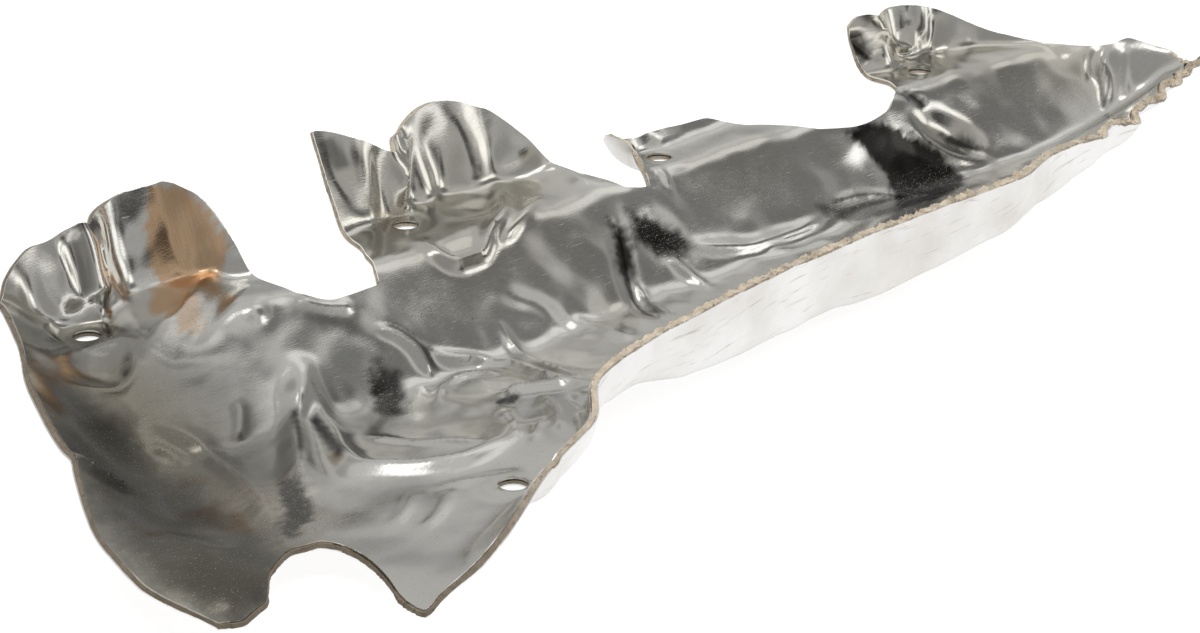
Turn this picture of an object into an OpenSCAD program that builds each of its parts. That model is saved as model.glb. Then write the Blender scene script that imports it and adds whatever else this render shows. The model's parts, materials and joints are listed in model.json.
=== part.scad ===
/* [Laminate] */
// Thickness of each metal skin
skin_t = 0.4; // [0.3:0.05:0.8]
// Thickness of the fibre core between the skins
core_t = 1.2; // [0.8:0.1:2]

/* [Bolt bosses] */
// Diameter of the bolt holes
hole_d = 7; // [5:0.1:8]
// Radius of the flat seat round each hole
seat_r = 6; // [5:0.5:8]
// Distance from the first boss to the second
boss_2 = 107; // [85:1:130]
// Distance from the first boss to the third
boss_3 = 197; // [170:1:235]
// Distance from the first boss to the fourth
boss_4 = 318; // [270:1:380]
// Height of the four back bosses above the trough
boss_h = 24; // [19:0.5:30]

/* [Tray] */
// Reach of the right end beyond the fourth boss
right_reach = 80; // [66:1:96]
// Reach of the front lobe from the line of the bosses
front_reach = 138; // [115:1:166]
// Height of the front rim above the trough
rim_h = 22; // [18:0.5:27]
// Tallest developed height of the ears behind the bosses
ear_h = 41; // [34:1:50]
// Half of the stretch of sheet that each bend takes
bend_half = 4; // [3:0.5:5]
// Height of the drawn beads
bead_h = 4; // [2:0.5:5]
// Half width of the drawn beads
bead_w = 4; // [4:0.5:8]

/* [Mesh] */
// Rows up the front wall
wall_rows = 3; // [3:1:4]
// Rows across the trough
trough_rows = 7; // [6:1:9]
// Rows over the boss shelf and up the ear
ear_rows = 7; // [6:1:9]

/* [Hidden] */

laminate_t = 2 * skin_t + core_t;
left_end = -18;
// A station well to the left of the shield, so that the sweep of the left end keeps its size.
far_left = -120;
// Nominal stations of the bosses and of the right end, which every table below is drawn to.
nominal_stops = [far_left, 0, 107, 197, 318, 398];
actual_stops = [far_left, 0, boss_2, boss_3, boss_4, boss_4 + right_reach];
// Step along the sheet over which its slope is read.
step = 1;
y_scale = front_reach / 138;
rim_scale = rim_h / 22;
ear_scale = ear_h / 41;

// Front rim: station, distance from the line of the bosses. The dip at 12 is the round notch between the two
// front lobes, with a steep right side.
rim_line = [[-18, -112], [-12, -115], [-3, -115], [4, -106], [12, -99], [16, -98], [17.5, -103],
    [19.7, -125], [21.7, -138], [25, -136], [35, -131], [53, -116], [66, -110], [78, -98], [96, -93],
    [136, -88], [190, -83], [254, -83], [290, -76], [326, -71], [358, -63], [398, -53]];
// Height of the front rim above the trough.
rim_height = [[-18, 5], [0, 8], [20, 6], [40, 11], [66, 17], [90, 21], [130, 22], [360, 22], [398, 23]];
// Height of the foot of the front wall, which lifts to both ends like a boat.
foot_height = [[-18, 12], [20, 7], [50, 6], [66, 8], [99, 9], [128, 4], [211, 3], [283, 9], [352, 14],
    [398, 21]];
// How far the foot stands behind the rim.
foot_inset = [[-18, 30], [0, 22], [36, 8], [60, 2], [300, 1], [370, 6], [398, 3]];
// Height and place of the lowest line of the trough.
trough_height = [[-18, 10], [20, 5], [60, 1], [90, 0], [330, 0], [382, 11], [398, 20]];
trough_line = [[-18, -50], [60, -40], [200, -38], [318, -34], [398, -44]];
// Foot of the ears: two scallops meet in a fold behind bosses one, two and four.
ear_foot = [[-18, 4], [-8, 9], [5, 7], [9, 5.5], [13, 10], [26, 15], [38, 15], [58, 4], [84, 3], [92, 9],
    [103, 11], [110, 11], [118, 15], [148, 14], [165, 8], [185, 2], [230, 4], [285, -2], [298, 2], [306, 9],
    [315, 6.5], [324, 12], [345, 8], [370, -8], [398, -38]];
// Steepness of the ears.
ear_angle = [[-18, 62], [0, 74], [60, 66], [84, 66], [110, 76], [150, 70], [185, 50], [240, 50], [290, 56],
    [318, 74], [370, 60], [398, 40]];
// Back edge, as the length of sheet behind the line of the bosses. It dips below the bosses in three notches.
back_edge = [[-18, 11], [-12, 24], [-4, 30], [9, 30], [18, 36], [30, 40], [40, 40], [47, 33], [53, 14],
    [57, -12], [66, -18], [79, -18], [82, -12], [86, -5], [90, 1], [92, 7], [93.2, 16], [94, 28], [95, 39],
    [104, 34], [112, 29], [116, 35], [132, 41], [150, 35], [160, 22], [169, 0], [174, -13], [182, -15],
    [183, -13], [184, 1], [186, 6], [195, 8], [225, 8], [242, -4], [256, -15], [272, -18], [286, -16],
    [291, -13], [297, -9], [303, -4], [306, 0], [308, 7], [309.2, 16], [310.4, 24], [313, 26], [317, 24.5],
    [325, 29], [342, 23], [362, 2], [386, -26], [391, -28], [398, -42]];
// Sideways sweep of the stations towards the left end, and the left edge itself, by distance from the bosses.
sweep = [[-145, -54], [-112, -36], [-96, -33], [-71, -29], [-43, -19], [-8, -5], [7, 0], [60, 4]];
left_edge = [[-145, -30], [-113, -27], [-96, -35], [-85, -34], [-57, -24], [-32, -17], [-8, -5], [7, 0],
    [60, 4]];
// Height of the raised left edge.
left_height = [[-145, 4], [-113, 5], [-96, 12], [-71, 19], [-32, 30], [-8, 33], [10, 37]];
left_fade = 24;
// Ears whose left side leans out: station of the edge, lean, lengths where it starts and ends, fade.
leans = [[85, 9, -10, 36, 26], [302, 16, -8, 26, 24]];
// Rolled left side of the third ear: station, width, reach, height, and the lengths over which it rises.
roll = [183, 12, 4, 9, -15, -3];
// Drawn beads: start, end and share of the bead height, with hollows below nought.
beads = [[[43, -28], [20, -56], 0.9], [[20, -56], [6, -76], 1], [[40, -36], [30, -70], 1],
    [[30, -70], [36, -84], 1], [[36, -84], [60, -86], 0.9], [[71, -26], [78, -40], 0.6],
    [[80, -40], [100, -62], 0.8], [[72, -68], [94, -78], 0.9], [[-2, -36], [2, -50], 0.8],
    [[2, -50], [-12, -86], 0.9], [[165, -26], [146, -54], -0.6], [[139, -4], [119, -15], 0.7],
    [[181, -30], [206, -38], 0.6], [[300, -30], [310, -27], -1]];
// Bolt holes: station, distance from the line of the bosses, height.
bosses = [[2, -0.5, boss_h], [107, 5, boss_h], [197, -3, boss_h], [318, -1, boss_h]];
front_hole = [51, -107, 6];
// Stations: where each run starts and how many pieces it is cut into.
runs = [[-18, 3], [-9, 2], [6, 2], [13, 1], [16, 1], [17.5, 1], [19.7, 1], [21.7, 1], [25, 1], [35, 3],
    [53, 1], [57, 2], [71, 1], [79, 1], [82, 1], [86, 1], [90, 1], [92, 1], [93.2, 1], [94, 1], [95, 1],
    [103, 2], [110, 2], [118, 3], [142, 2], [158, 1], [165, 1], [170, 1], [176, 1], [182, 1], [183, 1],
    [184, 1], [186, 1], [188, 1], [191, 2], [203, 2], [239, 2], [271, 2], [286, 1], [291, 1], [297, 1],
    [303, 1], [306, 1], [308, 1], [309.2, 1], [310.4, 1], [313, 1], [317, 1], [325, 2], [342, 2], [372, 1],
    [384, 1], [391, 1]];

function ease(a, b, x) = let (t = min(max((x - a) / (b - a), 0), 1)) t * t * (3 - 2 * t);
function slope(p, q) = (q[1] - p[1]) / (q[0] - p[0]);
// Slope of a curve where two runs meet: level at a peak, and otherwise between the slopes of the runs.
function joined(a, b) = a * b <= 0 ? 0 : 2 * a * b / (a + b);
function run_of(t, x, lo, hi) = hi - lo < 2 ? lo : let (m = floor((lo + hi) / 2))
    (t[m][0] <= x ? run_of(t, x, m, hi) : run_of(t, x, lo, m));
// Smooth curve through the points of a table.
function curve(t, x) = x <= t[0][0] ? t[0][1] : x >= t[len(t) - 1][0] ? t[len(t) - 1][1] :
    let (n = len(t), i = run_of(t, x, 0, n - 1), d = slope(t[i], t[i + 1]), w = t[i + 1][0] - t[i][0],
        a = i == 0 ? d : joined(slope(t[i - 1], t[i]), d),
        b = i == n - 2 ? d : joined(d, slope(t[i + 1], t[i + 2])), k = (x - t[i][0]) / w)
    t[i][1] * (1 + 2 * k) * pow(1 - k, 2) + a * w * k * pow(1 - k, 2)
    + t[i + 1][1] * k * k * (3 - 2 * k) + b * w * k * k * (k - 1);

// Carries a nominal station to its real place between the bosses.
function along(u) = lookup(u, [for (i = [0 : len(nominal_stops) - 1]) [nominal_stops[i], actual_stops[i]]]);

// One cross-section: distance and height against the length of sheet, and the lengths at rim, foot and
// back edge.
function section(u) = let (
    rim_y = y_scale * curve(rim_line, u),
    rim_z = rim_scale * curve(rim_height, u),
    foot_y = rim_y + curve(foot_inset, u),
    foot_z = min(curve(foot_height, u), rim_z + 6),
    ear_y = curve(ear_foot, u),
    shelf_y = min(-12, ear_y - 4),
    low_y = min(y_scale * curve(trough_line, u), shelf_y - 8),
    tilt = curve(ear_angle, u),
    reach = 90,
    y = [ear_y + reach * cos(tilt), ear_y, shelf_y, low_y, foot_y, rim_y],
    z = [boss_h + reach * sin(tilt), boss_h, boss_h, curve(trough_height, u), foot_z, rim_z],
    far = norm([y[5] - y[4], z[5] - z[4]]),
    low_s = shelf_y - norm([y[3] - y[2], z[3] - z[2]]),
    foot_s = low_s - norm([y[4] - y[3], z[4] - z[3]]),
    s = [ear_y + reach, ear_y, shelf_y, low_s, foot_s, foot_s - far],
    more = 30,
    all_s = concat(s, [s[5] - more]),
    all_y = concat(y, [y[5] + more * (y[5] - y[4]) / far]),
    all_z = concat(z, [z[5] + more * (z[5] - z[4]) / far]),
    back = curve(back_edge, u))
    [[for (i = [6 : -1 : 0]) [all_s[i], all_y[i]]], [for (i = [6 : -1 : 0]) [all_s[i], all_z[i]]],
        s[5], foot_s, back > 0 ? back * ear_scale : back];

// Rounds the corners of a section by averaging it over the stretch of a bend.
function rounded(t, s) = (lookup(s - bend_half, t) + lookup(s - bend_half / 2, t) + lookup(s, t)
    + lookup(s + bend_half / 2, t) + lookup(s + bend_half, t)) / 5;

function swept(u, y) = let (w = curve(sweep, y / y_scale))
    (1 - ease(0, 100, u - left_end)) * w
    + (1 - ease(0, 22, u - left_end)) * (curve(left_edge, y / y_scale) - w);

function leaned(u, s, k = 0) = k == len(leans) ? 0 : let (w = leans[k],
    up = max((s - w[2]) / (w[3] - w[2]), 0))
    (u >= w[0] - 4 ? -w[1] * up * (1 - ease(0, 1, (u - w[0]) / w[4])) : 0) + leaned(u, s, k + 1);

function bead_at(x, y, b) = let (p = [x, y], d = b[1] - b[0], t = min(max((p - b[0]) * d / (d * d), 0), 1))
    b[2] * bead_h * exp(-pow(norm(p - b[0] - t * d) / bead_w, 2));
function beaded(x, y) = let (h = [for (b = beads) bead_at(x, y, b)]) max(max(h), 0) + min(min(h), 0);

// Height of a seat, blended into the sheet round it.
function seated(x, y, z, k = 0) = k > len(bosses) ? z : let (c = seat(k),
    w = ease(seat_r, seat_r + 4, norm([x - c[0], y - c[1]])))
    seated(x, y, c[2] + w * (z - c[2]), k + 1);
function seat(k) = let (c = k < len(bosses) ? bosses[k] : front_hole,
    y = c[1] < -20 ? y_scale * c[1] : c[1]) [along(c[0] + swept(c[0], y)), y, c[2]];

// One point of the inner face, at a station and a length of sheet.
function inner_point(u, s, sec) = let (
    y = rounded(sec[0], s),
    z = rounded(sec[1], s),
    left = pow(max(1 - (u - left_end) / left_fade, 0), 2) * (1 - ease(4, 26, y)),
    t = min(max((u - roll[0]) / roll[1], 0), 1),
    rolled = u > roll[0] - 2 ? ease(roll[4], roll[5], s) : 0,
    nominal_x = u + swept(u, y) + leaned(u, s) - rolled * roll[2] * sin(200 * (1 - t)),
    x = along(nominal_x),
    lifted = z + left * (curve(left_height, y / y_scale) - z) + rolled * roll[3] * pow(1 - t, 2),
    drawn = lifted + beaded(nominal_x, y / y_scale) * (1 - ease(8, 16, s)))
    [x, y, seated(x, y, drawn)];

right_end = nominal_stops[5];
stations = concat([for (i = [0 : len(runs) - 1]) let (a = runs[i][0], n = runs[i][1],
    b = i < len(runs) - 1 ? runs[i + 1][0] : right_end) each [for (k = [0 : n - 1]) a + k * (b - a) / n]],
    [right_end]);

function row_lengths(sec) = let (middle = min(-14, sec[4] - 8), low = min(sec[3] + 3, middle - 4))
    concat([for (k = [0 : wall_rows]) sec[2] + (low - sec[2]) * k / wall_rows],
        [for (k = [1 : trough_rows]) low + (middle - low) * k / trough_rows],
        [for (k = [1 : ear_rows]) middle + (sec[4] - middle) * k / ear_rows]);

inner_face = [for (u = stations) let (sec = section(u)) [for (s = row_lengths(sec)) inner_point(u, s, sec)]];
// Direction out of the inner face, from points a short step apart along the length and across it.
function unit(v) = v / norm(v);
normals = [for (u = stations) let (sec = section(u), before = section(u - step), after = section(u + step))
    [for (s = row_lengths(sec)) unit(cross(
        inner_point(u + step, s, after) - inner_point(u - step, s, before),
        inner_point(u, s + step, sec) - inner_point(u, s - step, sec)))]];
cols = len(stations);
rows = wall_rows + trough_rows + ear_rows + 1;

// The inner face moved outwards by a depth.
function face_at(depth) = [for (i = [0 : cols - 1]) each [for (j = [0 : rows - 1])
    inner_face[i][j] - depth * normals[i][j]]];

// The origin is at the middle of the box that the shield fills, on the surface that it lies on.
outer_face = face_at(laminate_t);
all_points = concat(outer_face, face_at(0));
function span(k) = [for (p = all_points) p[k]];
origin = [(min(span(0)) + max(span(0))) / 2, (min(span(1)) + max(span(1))) / 2, min(span(2))];

function quad(a, b, c, d, flip) = flip ? [[a, c, b], [a, d, c]] : [[a, b, c], [a, c, d]];
count = cols * rows;
function at(i, j) = i * rows + j;
top_faces = [for (i = [0 : cols - 2], j = [0 : rows - 2])
    each quad(at(i, j), at(i, j + 1), at(i + 1, j + 1), at(i + 1, j), false)];
bottom_faces = [for (f = top_faces) [f[2] + count, f[1] + count, f[0] + count]];
rim_loop = concat([for (j = [0 : rows - 2]) at(0, j)], [for (i = [0 : cols - 2]) at(i, rows - 1)],
    [for (j = [rows - 1 : -1 : 1]) at(cols - 1, j)], [for (i = [cols - 1 : -1 : 1]) at(i, 0)]);
side_faces = [for (k = [0 : len(rim_loop) - 1]) let (a = rim_loop[k], b = rim_loop[(k + 1) % len(rim_loop)])
    each quad(b, a, a + count, b + count, false)];

module layer(top_depth, bottom_depth) {
    difference() {
        translate(-origin) polyhedron(concat(face_at(top_depth), face_at(bottom_depth)),
            concat(top_faces, bottom_faces, side_faces), convexity = 10);
        for (k = [0 : len(bosses)]) let (c = seat(k))
            translate([c[0], c[1], c[2] - 8] - origin) cylinder(d = hole_d, h = 16, $fn = 48);
    }
}

module outer_skin() {
    color("gainsboro") layer(skin_t + core_t, laminate_t);
}

module fibre_core() {
    color("tan") layer(skin_t, skin_t + core_t);
}

module inner_skin() {
    color("silver") layer(0, skin_t);
}

outer_skin();
fibre_core();
inner_skin();
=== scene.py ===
"""Exhaust heat shield: two pressed skins on a torn fibre core, creased, with soot and grime, and with dark
and orange reflections painted onto the bright skin.
"""

import json
import math

import bpy
import numpy as np
from mathutils import Matrix, Vector

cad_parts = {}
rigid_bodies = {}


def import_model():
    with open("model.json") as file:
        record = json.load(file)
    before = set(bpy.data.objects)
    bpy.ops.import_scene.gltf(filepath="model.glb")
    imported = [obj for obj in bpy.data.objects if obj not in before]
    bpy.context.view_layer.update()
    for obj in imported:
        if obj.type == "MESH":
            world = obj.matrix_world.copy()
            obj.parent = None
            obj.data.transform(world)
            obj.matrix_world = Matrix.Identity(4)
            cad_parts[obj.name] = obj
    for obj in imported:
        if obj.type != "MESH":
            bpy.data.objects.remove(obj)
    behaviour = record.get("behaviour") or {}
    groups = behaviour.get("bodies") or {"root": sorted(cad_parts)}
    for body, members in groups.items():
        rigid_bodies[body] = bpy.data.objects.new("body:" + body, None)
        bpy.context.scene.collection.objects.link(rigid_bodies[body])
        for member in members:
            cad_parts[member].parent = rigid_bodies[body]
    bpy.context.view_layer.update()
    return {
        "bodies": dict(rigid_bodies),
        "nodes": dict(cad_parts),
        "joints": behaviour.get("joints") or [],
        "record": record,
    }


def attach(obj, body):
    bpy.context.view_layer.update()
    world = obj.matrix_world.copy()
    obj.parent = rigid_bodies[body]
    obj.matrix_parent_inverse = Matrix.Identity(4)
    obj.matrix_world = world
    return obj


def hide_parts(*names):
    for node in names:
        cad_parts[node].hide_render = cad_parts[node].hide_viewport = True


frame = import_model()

bl_info = {
    "name": "Exhaust Heat Shield",
    "version": (1, 0, 0),
    "blender": (4, 5, 0),
    "location": "View3D > Sidebar > Heat Shield",
    "description": "Presses the skins and the fibre core of a heat shield and lights them in a studio",
    "category": "Object",
}

MM = 0.001
MOUNTS = {mount["name"]: Vector(mount["pos_m"]) for mount in frame["record"]["mounts"]}

# The tables below are drawn in millimetres: station along the shield from the first boss, distance behind the
# line of the bosses, height above the trough. The second boss says where that drawing lies in the frame.
BOSS_HEIGHT = 24.0
SECOND_BOSS = Vector((107.0, 5.0, BOSS_HEIGHT - 1.0))
ORIGIN = np.array(SECOND_BOSS - MOUNTS["boss_hole_2"] / MM)

# Outline and cross-sections of the pressing

LEFT_END = -18.0
RIGHT_END = 398.0
REACH = 90.0
BEND_HALF = 7.5

RIM_LINE = [(-18, -112), (-12, -115), (-3, -115), (4, -106), (12, -99.5), (16, -99.5), (18.2, -103),
            (19.1, -110), (19.35, -120), (19.5, -129), (20.2, -134), (21.7, -138.5), (25, -136), (35, -131),
            (53, -116), (66, -110), (78, -98), (96, -93), (136, -88), (190, -83), (254, -83), (290, -76),
            (326, -71), (358, -63), (398, -53)]
# The same line without the round notch between the front lobes: the notch is only cut out of the sheet.
FORM_LINE = [(-18, -112), (-3, -119), (12, -130), (24, -137), (27, -138)] + RIM_LINE[13:]
RIM_HEIGHT = [(-18, 5), (0, 8), (20, 6), (40, 11), (66, 17), (90, 21), (130, 22), (360, 22), (398, 23)]
FOOT_HEIGHT = [(-18, 12), (20, 7), (50, 6), (66, 8), (99, 9), (128, 4), (211, 3), (283, 9), (352, 14),
               (398, 21)]
FOOT_INSET = [(-18, 30), (0, 22), (36, 8), (60, 2), (300, 1), (370, 6), (398, 3)]
TROUGH_HEIGHT = [(-18, 10), (20, 5), (60, 1), (90, 0), (330, 0), (382, 11), (398, 20)]
TROUGH_LINE = [(-18, -50), (60, -40), (200, -38), (318, -34), (398, -44)]
EAR_FOOT = [(-18, 4), (-8, 9), (5, 7), (9, 5.5), (13, 10), (26, 15), (38, 15), (58, 4), (84, 3), (92, 9),
            (103, 11), (110, 11), (118, 15), (148, 14), (165, 8), (185, 2), (230, 4), (285, -2), (298, 2),
            (306, 9), (315, 6.5), (324, 12), (345, 8), (370, -8), (398, -38)]
EAR_ANGLE = [(-18, 62), (0, 74), (60, 66), (84, 66), (110, 76), (150, 70), (185, 50), (240, 50), (290, 56),
             (318, 74), (370, 60), (398, 40)]
BACK_EDGE = [(-18, 11), (-12, 24), (-4, 30), (9, 30), (18, 36), (30, 40), (40, 40), (47, 33), (53, 14),
             (57, -12), (66, -18), (79, -18), (82, -12), (86, -5), (90, 1), (92, 7), (93.2, 16), (94, 28),
             (95, 39), (104, 34), (112, 29), (116, 35), (132, 41), (150, 35), (160, 22), (169, 0),
             (174, -13), (182, -15), (183, -13), (184, 1), (186, 6), (195, 8), (225, 8), (242, -4),
             (256, -15), (272, -18), (286, -16), (291, -13), (297, -9), (303, -4), (306, 0), (308, 7),
             (309.2, 16), (310.4, 24), (313, 26), (317, 24.5), (325, 29), (342, 23), (362, 2), (386, -26),
             (391, -28), (398, -42)]
# Sideways sweep towards the left end and the left edge itself, by distance from the bosses.
SWEEP = [(-145, -54), (-112, -36), (-96, -33), (-71, -29), (-43, -19), (-8, -5), (7, 0), (60, 4)]
LEFT_EDGE = [(-145, -30), (-113, -27), (-96, -35), (-85, -34), (-57, -24), (-32, -17), (-8, -5), (7, 0),
             (60, 4)]
LEFT_HEIGHT = [(-145, 4), (-113, 5), (-96, 12), (-71, 19), (-32, 30), (-8, 33), (10, 37)]
LEFT_FADE = 24.0
# Ears whose left side leans out: station of the edge, lean, lengths where it starts and ends, fade.
LEANS = [(85, 9, -10, 36, 26), (302, 16, -8, 26, 24)]
# Rolled left side of the third ear: station, width, reach, height, and the lengths over which it rises.
ROLL = (183, 12, 4, 9, -15, -3)
# Seats of the bolts: station, distance from the line of the bosses, height.
SEATS = [(2, -0.5, BOSS_HEIGHT), (107, 5, BOSS_HEIGHT), (197, -3, BOSS_HEIGHT), (318, -1, BOSS_HEIGHT),
         (51, -107, 6)]
SEAT_R = 6.0

# Features drawn on the flat sheet, as station and length of sheet behind the line of the bosses.

# Ridges and creases: points, height, half width, sharpness of the crest.
RIDGES = [
    # Left ear
    ([(0, 30), (3, 18), (4, 10)], 1.0, 2.4, 0.3),
    ([(13, 31), (10, 20), (8, 9)], 1.2, 2.6, 0.2),
    ([(17, 36), (14, 28), (13, 20), (10, 9)], 2.2, 2.2, 0.8),
    ([(19, 35), (18, 26)], 0.7, 1.8, 0.3),
    ([(6, 30), (7, 22), (6, 13)], -0.9, 2.4, 0.2),
    ([(51, 13), (41, 7), (28, -3), (16, -11)], 1.3, 3.4, 0.3),
    ([(50, 4), (35, -9), (22, -19)], -0.8, 2.6, 0.0),
    ([(13, 3), (15, -14), (19, -21), (31, -23)], -0.6, 2.4, 0.2),
    ([(55, -14), (62, -19), (70, -22)], 1.1, 2.2, 0.4),
    ([(-6, -24), (1, -25), (8, -20), (10, -13)], 0.9, 1.8, 0.5),
    # Left lobe
    ([(-19, -58), (-13, -60), (-9, -61), (-5, -63)], 2.2, 2.3, 0.7),
    ([(5, -42), (9, -46), (12, -52)], 0.8, 1.5, 0.5),
    ([(9, -37), (16, -48), (18, -65), (16, -81), (10, -98)], 1.7, 2.8, 0.4),
    ([(29, -36), (27, -42), (24, -49)], 0.9, 2.0, 0.3),
    ([(10, -103), (13, -96), (17, -92)], 0.9, 1.6, 0.5),
    ([(-8, -82), (-3, -90), (0, -99)], 0.7, 3.0, 0.0),
    # Forked bead
    ([(47, -33), (41, -42), (35, -56), (30, -68), (25, -80)], 3.4, 3.0, 0.0),
    ([(47, -35), (44, -50), (41, -62), (38, -72), (37, -80), (41, -88), (47, -94), (54, -97), (62, -97),
      (68, -94)],
     3.4, 3.0, 0.1),
    ([(47, -64), (50, -70), (53, -77), (57, -83), (60, -91)], 0.9, 1.4, 0.6),
    ([(42, -101), (47, -105), (53, -109)], 0.9, 1.6, 0.5),
    ([(27, -110), (33, -106), (39, -99)], 0.9, 1.6, 0.5),
    ([(30, -117), (37, -112), (44, -104)], 0.8, 1.6, 0.5),
    # Crumple by the corner of the rim
    ([(71, -29), (76, -34), (78, -39), (78, -47)], 1.8, 1.7, 0.6),
    ([(81, -39), (86, -44), (94, -49), (96, -57), (94, -68), (92, -80), (94, -89)], 2.6, 2.3, 0.4),
    ([(70, -59), (78, -53), (85, -51), (89, -53), (92, -61)], 1.5, 1.6, 0.6),
    ([(80, -72), (84, -77), (88, -82), (92, -86)], 2.6, 2.2, 0.3),
    ([(107, -40), (106, -47), (105, -54), (102, -63), (99, -74), (95, -88)], 1.5, 1.8, 0.6),
    ([(73, -79), (70, -88), (66, -94), (62, -99)], 1.1, 1.4, 0.6),
    ([(73, -95), (68, -99), (64, -103)], 0.8, 1.2, 0.5),
    ([(83, -83), (79, -92), (73, -101), (70, -106)], 1.1, 1.5, 0.6),
    ([(86, -90), (83, -98), (78, -104)], -1.0, 1.6, 0.4),
    ([(90, -92), (86, -101), (80, -110)], 0.9, 1.4, 0.6),
    # Second boss
    ([(146, 10), (140, 2), (131, -8), (122, -13), (113, -19), (106, -19), (102, -14),
      (103, -8)], 2.4, 2.4, 0.4),
    ([(150, -4), (138, -10), (130, -14), (121, -18)], 1.4, 1.8, 0.5),
    ([(119, 38), (117, 31), (112, 21), (110, 15)], 2.4, 2.2, 0.8),
    ([(122, 37), (118, 28), (113, 15)], 0.9, 2.0, 0.2),
    ([(163, 12), (166, 2), (163, -8)], 1.2, 3.0, 0.2),
    # Middle
    ([(166, -20), (161, -29), (156, -38), (153, -46), (148, -60)], -1.5, 3.6, 0.2),
    ([(158, -41), (155, -50), (151, -61)], 0.9, 1.6, 0.5),
    ([(173, -36), (175, -44), (176, -52)], 1.4, 2.2, 0.4),
    ([(179, -33), (184, -37), (191, -40), (205, -43), (222, -43), (238, -41)], 1.6, 2.6, 0.3),
    ([(205, -47), (217, -50), (232, -50)], 0.9, 1.8, 0.4),
    ([(196, -5), (190, -12), (188, -19)], 1.0, 1.3, 0.5),
    ([(128, -44), (133, -55), (131, -68)], 0.9, 3.4, 0.0),
    ([(112, -30), (124, -40), (127, -55)], -0.8, 3.4, 0.0),
    # Right end
    ([(240, -38), (256, -39), (272, -44), (285, -50)], 1.0, 2.0, 0.3),
    ([(296, -9), (299, -13), (304, -18)], -1.2, 2.4, 0.3),
    ([(292, -19), (295, -29), (303, -37), (314, -41), (320, -38)], 0.8, 2.6, 0.2),
    ([(316, 26), (317, 19), (321, 16), (325, 14), (327, 10)], 2.0, 2.0, 0.8),
    ([(309, 23), (311, 16), (313, 9)], -1.2, 2.2, 0.2),
    ([(329, 26), (331, 18), (330, 10)], 0.9, 2.4, 0.2),
    ([(341, 22), (339, 13), (336, 6)], -0.8, 2.6, 0.0),
    ([(384, -26), (379, -29), (377, -34), (369, -42)], 1.9, 1.7, 0.8),
    ([(380, -24), (375, -28), (373, -33)], -1.0, 1.4, 0.5),
    ([(388, -30), (384, -36), (377, -44)], 0.8, 1.6, 0.4),
]
# Hollows and swells: station, length, radii, turn in degrees, height.
HOLLOWS = [
    (1, -15, 9, 7, 20, -1.8), (2, 13, 7, 7, 0, 1.0), (17, 15, 3, 6, 0, 0.6), (44, -8, 7, 10, -20, 1.1),
    (44, -15, 3, 3, 0, 0.6), (-5, 20, 4, 9, 0, -1.3), (0, 21, 3, 8, 0, 1.2),
    (24, 26, 5, 12, 0, -1.0), (38, 24, 6, 14, 0, 0.9), (47, 20, 4, 10, 0, -0.8),
    (18, -42, 9, 5, -30, 0.7), (60, -66, 9, 16, 10, -1.6), (63, -48, 6, 11, 15, -1.3),
    (5, -75, 9, 16, 10, -1.2), (29, -92, 8, 10, 0, -1.0), (50, -50, 6, 9, 0, -0.8),
    (113, -60, 9, 20, -10, -1.8), (128, 3, 9, 6, 0, -1.4), (101, 27, 4, 11, 0, 1.5),
    (108, 24, 3.5, 9, 0, -1.3),
    (113, 23, 3, 9, 0, 1.1), (130, 27, 6, 12, 0, -1.3), (142, 24, 5, 12, 0, 1.1), (124, 22, 4, 10, 0, 0.9),
    (154, 19, 5, 4, 0, 1.0), (162, 6, 5, 7, 20, 0.9), (145, -48, 7, 12, -15, 1.0),
    (175, -30, 8, 9, 30, -1.4), (205, 8, 9, 4, 0, 0.7), (220, -22, 22, 12, 0, -0.7),
    (284, -36, 15, 12, -30, -1.6), (262, -20, 18, 8, 0, 0.7),
    (306, -29, 13, 6, -38, -2.6), (328, 15, 5, 5, 0, 1.7), (336, 21, 4, 7, 0, 1.6), (347, 9, 6, 5, 0, 1.4),
    (372, -22, 6, 5, -30, 1.4), (350, -14, 16, 10, -20, -0.8), (340, -36, 16, 9, -15, 0.7),
]
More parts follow.
